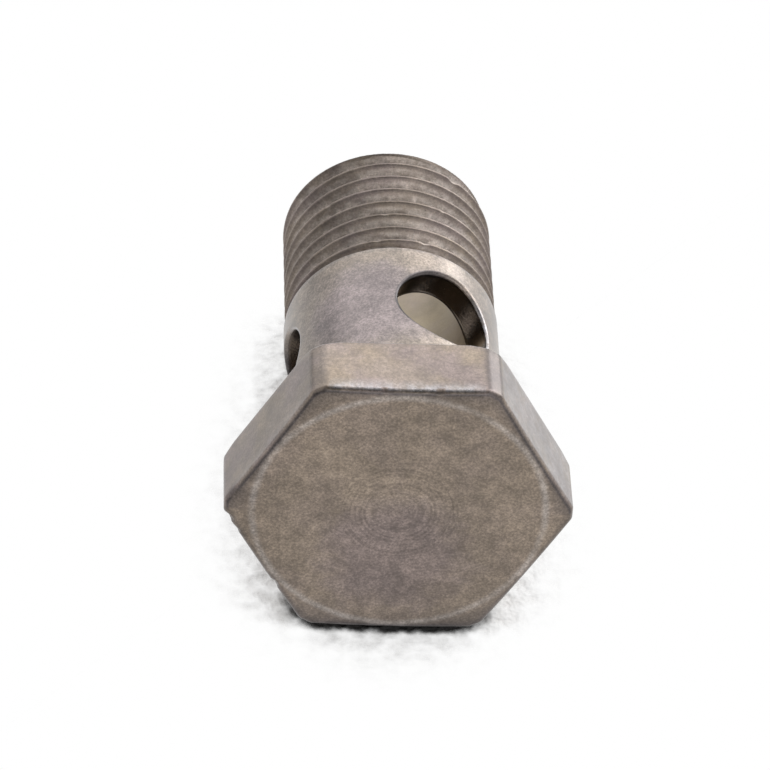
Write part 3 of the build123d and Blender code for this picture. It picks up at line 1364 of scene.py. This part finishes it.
@dataclass(frozen=True)
class Steel:
    """Satin steel with a light brown stain."""

    name: str  # the material's name
    color: Triple  # colour between the stains
    roughness: float  # mean roughness
    marks: Across = Across.ALONG  # what the turning marks run across
    lines: float = 5.0  # turning marks for each millimetre, roughly
    mark_share: float = 0.2  # how much the turning marks show, from 0 to 1
    grain: float = 0.5  # how much the speckle shows, from 0 to 1
    mottle: float = 0.6  # how much the stains show, from 0 to 1
    wear_and_shading: float = 0.8  # how much the worn edges and the painted light show, from 0 to 1
    worn_and_lit: Triple = (0.43, 0.425, 0.45)  # colour of the worn edges, and of the painted light
    mark_reach: float = 99.0  # radius where the last turning marks are, in millimetres
    band: Band | None = None  # burnished ring, if there is one
    patch: Patch | None = None  # large violet stain, if there is one
    pits: float = 1.0  # how much the pits show, from 0 to 1
    film: float = 0.7  # weight of the thin clear film of oil

    grain_scale: ClassVar[float] = 8.5
    stain_size: ClassVar[float] = 2.4
    pit_scale: ClassVar[float] = 2.6
    pit_width: ClassVar[float] = 0.09
    breakup_scale: ClassVar[float] = 2.2
    mark_fade: ClassVar[float] = 0.6  # share of their reach where the turning marks are whole
    plain_grain: ClassVar[float] = 0.38  # the speckle's value that leaves the colour as it is
    darker: ClassVar[float] = 0.16  # by the stains, where they are deepest
    lighter: ClassVar[float] = 0.14  # by the stains, where they are lightest
    # how far the colour of grime and painted shade covers the steel
    grime_and_shade_cover: ClassVar[float] = 0.9
    rough_grain: ClassVar[float] = 0.12  # how much rougher the light grains are than the dark ones
    smooth_worn: ClassVar[float] = 0.1  # how much smoother rubbed steel is
    film_roughness: ClassVar[float] = 0.3
    relief: ClassVar[float] = 5e-6  # height of the grain, in metres
    mark_height: ClassVar[float] = 4.0  # of the turning marks beside the grain, times their share
    pit_depth: ClassVar[float] = 3.0  # beside the grain's height

    olive: ClassVar[Triple] = (1.02, 1.0, 0.9)  # tint of the olive stains
    violet: ClassVar[Triple] = (0.93, 0.91, 1.03)  # tint of the violet ones
    # colour of grime and of painted shade
    grime_and_shade: ClassVar[Triple] = (0.075, 0.064, 0.066)
    pit: ClassVar[Triple] = (0.05, 0.045, 0.04)

    def material(self, effects: Effects) -> bpy.types.Material:
        """Builds the material.

        Args:
            effects: The shared node groups.

        Returns:
            The material.
        """
        material = bpy.data.materials.new(self.name)
        material.use_nodes = True
        nodes = Nodes(material.node_tree)
        shader = material.node_tree.nodes["Principled BSDF"].inputs
        seen = self._seen(nodes, effects)
        nodes.feed(shader["Base Color"], self._color(nodes, seen))
        shader["Metallic"].default_value = 1.0
        shader["Coat Weight"].default_value = self.film
        shader["Coat Roughness"].default_value = self.film_roughness
        smoothest = self.roughness - self.rough_grain / 2
        rough = nodes.math("MULTIPLY_ADD", seen.grain, self.rough_grain, smoothest)
        rough = nodes.math("SUBTRACT", rough, nodes.product(seen.worn_and_lit, self.smooth_worn))
        nodes.feed(shader["Roughness"], rough)
        height = nodes.math("MULTIPLY_ADD", seen.marks, self.mark_height * self.mark_share, seen.grain)
        height = nodes.math("SUBTRACT", height, nodes.product(seen.pits, self.pit_depth))
        bump = nodes.add("Bump", {"Strength": 1.0, "Distance": self.relief, "Height": height})
        nodes.feed(shader["Normal"], bump)
        return material

    def _seen(self, nodes: Nodes, effects: Effects) -> Seen:
        """Places the shared effects.

        Args:
            nodes: Nodes of the material.
            effects: The shared node groups.

        Returns:
            What the finish has at each point.
        """
        axes = nodes.group(effects.axes)
        place, radius = axes["Place"], axes["Radius"]
        stains = nodes.group(effects.mottle, Place=place, Size=self.stain_size)
        edges = nodes.group(effects.wear_and_shading, Place=place, Scale=self.breakup_scale, Amount=self.wear_and_shading)
        marks = nodes.group(effects.turning, Place=place, Across=axes[self.marks.value], Lines=self.lines)
        beyond = nodes.ramp(radius, self.mark_reach * self.mark_fade, self.mark_reach)
        size = {"Scale": self.pit_scale, "Width": self.pit_width}
        pits = nodes.group(effects.pits, Place=place, Amount=self.pits, **size)
        seen = Seen(
            grain=nodes.group(effects.grain, Place=place, Scale=self.grain_scale)["Value"],
            marks=nodes.blend(beyond, marks["Value"], (0.5, 0.5, 0.5)),
            olive=stains["Olive"], violet=stains["Violet"], depth=stains["Depth"],
            pits=pits["Mask"], worn_and_lit=edges["Worn"], shaded_and_grimy=edges["Grimy"],
        )
        if self.band:
            seen.worn_and_lit = nodes.math("MAXIMUM", seen.worn_and_lit, self.band.mask(nodes, place, radius))
        if self.patch:
            seen.patch = self.patch.mask(nodes, place)
            fading = nodes.product(seen.patch, self.patch.olive_fade)
            around = nodes.math("SUBTRACT", self.patch.olive, fading)
            seen.violet = nodes.math("MAXIMUM", nodes.product(seen.violet, self.patch.violet), seen.patch)
            seen.olive = nodes.math("MAXIMUM", seen.olive, around)
        return seen

    def _color(self, nodes: Nodes, seen: Seen) -> Socket:
        """Lays stains, grime and painted shade, rubbed steel and painted light over the steel's colour, and
        shades it.

        Args:
            nodes: Nodes of the material.
            seen: What the finish has at each point.

        Returns:
            The colour.
        """
        speckle = nodes.math("SUBTRACT", seen.grain, self.plain_grain)
        speckle = nodes.math("MULTIPLY_ADD", speckle, self.grain, 1.0)
        lines = nodes.ramp(seen.marks, *USUAL_NOISE, 1 - self.mark_share, 1 + self.mark_share)
        darkest, lightest = 1 - self.darker * self.mottle, 1 + self.lighter * self.mottle
        shade = nodes.product(speckle, lines, nodes.ramp(seen.depth, 0.0, 1.0, darkest, lightest))
        if self.patch:
            shade = nodes.product(shade, nodes.ramp(seen.patch, 0.0, 1.0, 1.0, self.patch.shade))
        color = nodes.blend(nodes.product(seen.olive, self.mottle), self.color, self._tinted(self.olive))
        color = nodes.blend(nodes.product(seen.violet, self.mottle), color, self._tinted(self.violet))
        color = nodes.blend(nodes.product(seen.shaded_and_grimy, self.grime_and_shade_cover), color, self.grime_and_shade)
        color = nodes.scaled(nodes.blend(seen.worn_and_lit, color, self.worn_and_lit), shade)
        return nodes.blend(seen.pits, color, self.pit)

    def _tinted(self, tint: Triple) -> Triple:
        """The steel's colour under a stain."""
        return tuple(a * b for a, b in zip(self.color, tint))


class BanjoBolt:
    """The whole bolt, one closed skin in place of its solid."""

    finishes = (  # one for each zone, in order
        # the face's patch also darkens the lower face: painted shade
        Steel("stained_face", (0.250, 0.202, 0.168), roughness=0.42, marks=Across.RADIUS, lines=8.0,
              mark_share=0.17, mark_reach=3.4, grain=0.92, mottle=0.75, worn_and_lit=(0.46, 0.425, 0.405), pits=0.6,
              film=0.5, band=Band(6.64, 0.36, 0.48), patch=Patch((-0.1, -2.5, -3.5), 4.5, 0.93)),
        Steel("stained_flats", (0.253, 0.205, 0.171), roughness=0.38, lines=6.0, mark_share=0.03,
              grain=0.75, mottle=0.8, wear_and_shading=1.0, pits=0.3, film=0.6),
        # its worn colour, shown in full, also paints the highlight on the ports' lips
        Steel("stained_shank", (0.268, 0.226, 0.202), roughness=0.40, lines=7.0, mark_share=0.04,
              grain=1.1, mottle=0.8, wear_and_shading=1.0, pits=0.6, patch=Patch((-1.5, 4.8, 5.4), 4.0, 0.86)),
        # the thread's light worn colour paints light on its roots
        Steel("stained_thread", (0.255, 0.212, 0.182), roughness=0.46, lines=16.0, mark_share=0.05,
              grain=0.6, worn_and_lit=(0.80, 0.72, 0.66), film=0.1),
        # darker than the other steel: painted shade on the ports' walls, over the drilled steel's colour
        Steel("drilled_port", (0.15, 0.115, 0.085), roughness=0.22, mark_share=0.02, grain=0.06,
              wear_and_shading=0.2, pits=0.0),
        # lighter than the other steel: painted light bounced inside the bore, over the drilled steel's colour
        Steel("drilled_bore", (0.31, 0.262, 0.20), roughness=0.5, mark_share=0.015, grain=0.2,
              pits=0.0, film=0.2),
    )

    def __init__(self, record: dict) -> None:
        """Reads the sizes that the record's mounts give.

        Args:
            record: The bolt's record.
        """
        mounts = {mount["name"]: mount for mount in record["mounts"]}
        self.place = Place.of(mounts)
        radius = {name: mount["dims"].get("r_mm") for name, mount in mounts.items()}
        first_port = self.place.clock_of(Vector(mounts["port_1"]["axis"]))
        self.shank = DrilledShank(radius["shank"], radius["oil_bore"], radius["port_1"], first_port)
        self.head = HexagonHead(self.shank.clocks, self.shank.radius + self.shank.root)
        self.thread = CutThread(radius["thread"], self.shank)
        self.hollow = HollowEnd(self.shank, self.thread.end)

    def build(self) -> bpy.types.Object:
        """Builds the skin and dresses it.

        Returns:
            The bolt's object.
        """
        skin = Skin()
        root = self.head.build(skin)
        face = skin.row(circle(self.thread.tip_radius, self.shank.clocks, self.thread.end))
        bore = self.hollow.lining(skin, face)
        far, near = self.shank.build(skin, root, bore, self.hollow.meets_ports)
        skin.sew(self.thread.build(skin, far), face, Zone.THREAD)
        self.hollow.point(skin, near)
        piece = skin.build("bolt_skin", self.place)
        effects = Effects(self.place)
        for finish in self.finishes:
            piece.data.materials.append(finish.material(effects))
        return piece


@dataclass(frozen=True)
class Softbox:
    """Rectangular lamp that faces the bolt."""

    name: str  # its name
    place: Triple  # where its middle is, in metres
    width: float  # its level side, in metres
    height: float  # its other side, in metres
    radiance: float  # how bright it looks, where 1 is white

    def build(self) -> None:
        """Adds the lamp."""
        light = bpy.data.lights.new(self.name, "AREA")
        light.shape = "RECTANGLE"
        light.size = self.width
        light.size_y = self.height
        light.energy = self.radiance * math.pi * self.width * self.height
        lamp = bpy.data.objects.new(self.name, light)
        lamp.location = self.place
        lamp.rotation_euler = (-Vector(self.place)).to_track_quat("-Z", "Y").to_euler()
        bpy.context.scene.collection.objects.link(lamp)


@dataclass(frozen=True)
class Paper:
    """White paper floor that the bolt lies on and shades."""

    half: float = 1.0  # of its side, in metres
    brightness: float = 0.85
    warmth: Triple = (1.0, 0.985, 0.97)  # tint of its own colour
    tooth_scale: float = 1.3
    tooth_height: float = 6e-4  # in metres
    open_sky: Triple = (0.1, 0.6, 0.8)  # where the light on the paper comes from
    shadow_reach: float = 0.010  # how near the bolt has to be to shade the paper, in metres
    shadow_fade: Pair = (0.33, 0.73)  # open share of the sky where the shade is full and where it ends
    unevenness: float = 0.8  # of the shade's fade, from the paper's tooth
    contact_reach: float = 0.002  # how near the bolt has to be for the painted contact shadow where it lies, in metres
    contact_fade: Pair = (0.38, 0.68)  # open share where that painted shadow is full and where it ends
    contact_dark: float = 0.06  # brightness left in it, where the paper has 1
    far_side: float = 0.8  # how bright the steel sees the paper on its left, away from the light
    far_span: Pair = (-30.0, 12.0)  # from left to right, where that ends, in millimetres

    def build(self) -> None:
        """Builds the floor."""
        far = self.half
        mesh = bpy.data.meshes.new("floor")
        mesh.from_pydata([(-far, -far, 0), (far, -far, 0), (far, far, 0), (-far, far, 0)], [], [(0, 1, 2, 3)])
        piece = bpy.data.objects.new("floor", mesh)
        bpy.context.scene.collection.objects.link(piece)
        mesh.materials.append(self.material())

    def material(self) -> bpy.types.Material:
        """Paper with a fine tooth, which camera and steel see as plain white outside the bolt's shade.

        Returns:
            The material.
        """
        material = bpy.data.materials.new("white_paper")
        material.use_nodes = True
        nodes = Nodes(material.node_tree)
        shader = material.node_tree.nodes["Principled BSDF"]
        shader.inputs["Roughness"].default_value = 0.9
        shader.inputs["Specular IOR Level"].default_value = 0.1
        place = nodes.scaled(nodes.add("TexCoord", {}, "Object"), 1 / MM)
        tooth = nodes.noise(place, self.tooth_scale, 2.0, 0.5)
        bump = nodes.add("Bump", {"Strength": 1.0, "Distance": self.tooth_height, "Height": tooth})
        nodes.feed(shader.inputs["Normal"], bump)
        nodes.feed(shader.inputs["Base Color"], self._color(nodes))
        path = nodes.tree.nodes.new("ShaderNodeLightPath").outputs
        seen = nodes.math("MAXIMUM", path["Is Camera Ray"], path["Is Glossy Ray"])
        seen = nodes.math("MAXIMUM", seen, path["Is Transmission Ray"])
        across = nodes.add("SeparateXYZ", {"Vector": place}, "X")
        far_side = nodes.ramp(across, *self.far_span, self.far_side, 1.0)
        lit = nodes.math("MAXIMUM", path["Is Camera Ray"], far_side)
        white = nodes.add("Emission", {"Color": (1, 1, 1, 1), "Strength": lit})
        plain = nodes.product(seen, self._open(nodes, tooth))
        both = nodes.add("MixShader", {0: plain, 1: shader.outputs[0], 2: white})
        nodes.feed(nodes.tree.nodes["Material Output"].inputs["Surface"], both)
        return material

    def _open(self, nodes: Nodes, tooth: Socket) -> Socket:
        """How little the bolt shades the paper.

        Args:
            nodes: Nodes of the material.
            tooth: Noise of the paper's tooth.

        Returns:
            A value from 0 in the shade to 1 outside.
        """
        towards = {"Distance": self.shadow_reach, "Normal": tuple(Vector(self.open_sky).normalized())}
        clear = nodes.add("AmbientOcclusion", towards, "AO", samples=16)
        fading = nodes.product(nodes.math("SUBTRACT", 1.0, clear), self.unevenness)
        uneven = nodes.math("MULTIPLY_ADD", nodes.math("SUBTRACT", tooth, 0.5), fading, clear)
        return nodes.ramp(uneven, *self.shadow_fade)

    def _color(self, nodes: Nodes) -> Socket:
        """The paper's colour, with a painted contact shadow that falls almost to black where the bolt lies on
        it.

        Args:
            nodes: Nodes of the material.

        Returns:
            The colour.
        """
        close = nodes.add("AmbientOcclusion", {"Distance": self.contact_reach}, "AO", samples=16)
        shade = nodes.ramp(close, *self.contact_fade, self.brightness * self.contact_dark, self.brightness)
        warm = {channel: nodes.product(shade, tone) for channel, tone in enumerate(self.warmth)}
        return nodes.add("CombineColor", warm)


@dataclass(frozen=True)
class Surround:
    """Pale world with a dark patch above the near side, and dimmer on the near left."""

    pale: float = 0.78
    dark: float = 0.12  # of the dark patch
    dark_rise: float = 75.0  # of its middle over the horizon
    dark_reach: float = 35.0  # from its middle to its rim
    dark_core: float = 0.45  # share of that reach that is whole
    dim: float = 0.25  # brightness left in the dim patch, where the rest has 1
    dim_side: Triple = (-0.55, -0.8, 0.2)  # middle of the dim patch
    dim_cone: Pair = (0.84, 0.98)  # cosine of the angle from its middle where it ends and is whole

    def build(self) -> None:
        """Builds the world."""
        world = bpy.data.worlds.new("studio")
        bpy.context.scene.world = world
        world.use_nodes = True
        nodes = Nodes(world.node_tree)
        direction = nodes.add("TexCoord", {}, "Generated")
        rise = math.radians(self.dark_rise)
        near = nodes.vector("DOT_PRODUCT", direction, (0.0, -math.cos(rise), math.sin(rise)))
        rim, core = (math.cos(math.radians(self.dark_reach * share)) for share in (1.0, self.dark_core))
        above = nodes.ramp(near, rim, core, self.pale, self.dark)
        aside = nodes.vector("DOT_PRODUCT", direction, tuple(Vector(self.dim_side).normalized()))
        background = nodes.tree.nodes["Background"]
        background.inputs["Color"].default_value = (1, 1, 1, 1)
        dimmed = nodes.ramp(aside, *self.dim_cone, 1.0, self.dim)
        nodes.feed(background.inputs["Strength"], nodes.product(above, dimmed))


@dataclass
class Studio:
    """Paper, surround and four softboxes."""

    paper: Paper = Paper()
    surround: Surround = Surround()
    lamps: tuple[Softbox, ...] = (
        Softbox("back_softbox", (0.05, 0.50, 0.34), 1.3, 0.34, 1.25),
        Softbox("front_softbox", (0.10, -0.44, 0.23), 0.34, 0.20, 1.5),
        Softbox("key_softbox", (0.32, 0.24, 0.40), 0.34, 0.34, 1.9),
        Softbox("side_softbox", (0.38, 0.34, 0.09), 0.34, 0.16, 3.6),
    )

    def build(self) -> None:
        """Builds the floor, the surround and the lamps."""
        self.paper.build()
        self.surround.build()
        for lamp in self.lamps:
            lamp.build()


@dataclass(frozen=True)
class View:
    """Camera in front of the head and above it."""

    eye: Triple = (-13.287, -158.474, 165.981)  # where it stands, in millimetres
    aim: Triple = (-0.245, 0.062, 4.772)  # the point that it looks at, in millimetres
    roll: float = 4.886  # its turn about the line of sight, in degrees
    lens: float = 225.1  # focal length, for a picture 36 mm wide

    def build(self) -> None:
        """Adds the camera."""
        data = bpy.data.cameras.new("camera")
        data.lens = self.lens
        data.sensor_width = 36.0
        data.clip_start = 0.01
        data.clip_end = 10
        camera = bpy.data.objects.new("camera", data)
        at, aim = Vector(self.eye) * MM, Vector(self.aim) * MM
        aimed = (aim - at).to_track_quat("-Z", "Y").to_matrix().to_4x4()
        turned = Matrix.Rotation(math.radians(self.roll), 4, "Z")
        camera.matrix_world = Matrix.Translation(at) @ aimed @ turned
        bpy.context.scene.collection.objects.link(camera)
        bpy.context.scene.camera = camera


def main() -> None:
    """Builds everything in order."""
    logging.basicConfig(level=logging.INFO, format="%(name)s: %(message)s")
    bolt = BanjoBolt(frame["record"])
    piece = bolt.build()
    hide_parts(NODE)
    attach(piece, BODY)
    LOG.info("bolt: one skin on %s", NODE)
    Studio().build()
    LOG.info("studio: floor, surround and lamps")
    View().build()
    bpy.context.scene.view_settings.view_transform = "Standard"


if __name__ == "__main__":
    main()
